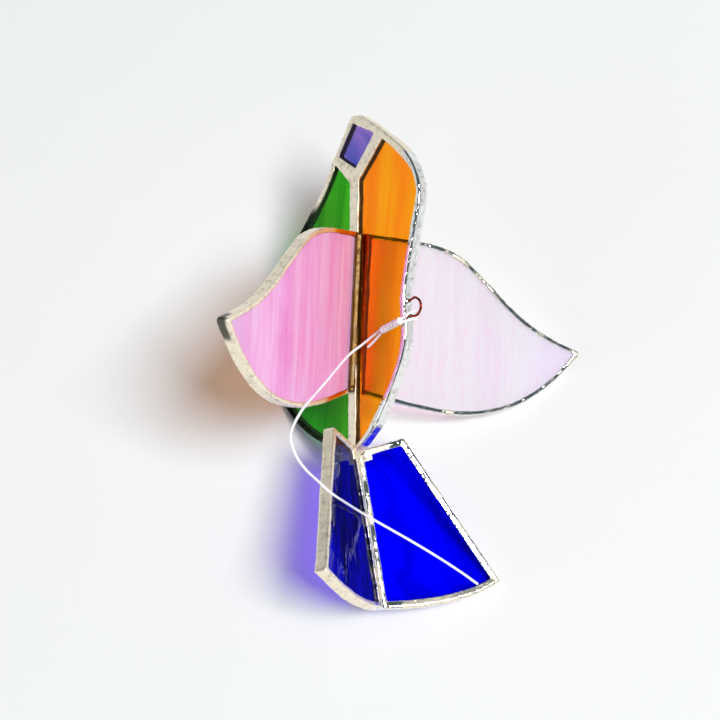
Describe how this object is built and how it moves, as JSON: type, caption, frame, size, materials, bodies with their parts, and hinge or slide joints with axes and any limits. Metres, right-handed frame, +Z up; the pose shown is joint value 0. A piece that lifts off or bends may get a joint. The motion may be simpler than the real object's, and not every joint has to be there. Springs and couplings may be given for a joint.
{
  "type": "stained glass suncatcher",
  "caption": "Flying bird of coloured glass panels in bright solder: an upright body, two raised wings and a folded tail, with a wire hanging loop and a clear nylon line.",
  "frame": {"origin": "on the table, under the middle of the bird's box without its line", "axes": "+Z up from the table, +Y towards the beak as the bird lies, +X towards the lowered right wing"},
  "size_m": [0.1252, 0.1734, 0.1118],
  "materials": {
    "violet_glass": "clear violet sheet glass, polished",
    "orange_glass": "clear orange sheet glass with lengthwise streaks, polished",
    "green_glass": "clear green sheet glass with lengthwise streaks, polished",
    "pink_glass": "streaky pink opal sheet glass, polished",
    "lilac_glass": "pale lilac opal sheet glass with pink flecks, polished",
    "cobalt_glass": "cobalt water glass, rippled",
    "solder": "hand-run tin solder over copper foil, bright with dull patches",
    "copper_wire": "darkened copper wire",
    "crimp_metal": "bright plated crimp",
    "nylon": "clear nylon line"
  },
  "bodies": {
    "root": {"beak_glass": "violet_glass", "back_glass": "orange_glass", "belly_glass": "green_glass", "left_wing_glass": "pink_glass", "right_wing_glass": "lilac_glass", "left_tail_glass": "cobalt_glass", "right_tail_glass": "cobalt_glass", "body_solder": "solder", "left_wing_solder": "solder", "right_wing_solder": "solder", "tail_solder": "solder", "hanging_loop": "copper_wire", "nylon_line": "nylon", "line_eye": "nylon", "line_stub": "nylon", "crimp_bead_1": "crimp_metal", "crimp_bead_2": "crimp_metal", "crimp_bead_3": "crimp_metal"}
  },
  "joints": []
}
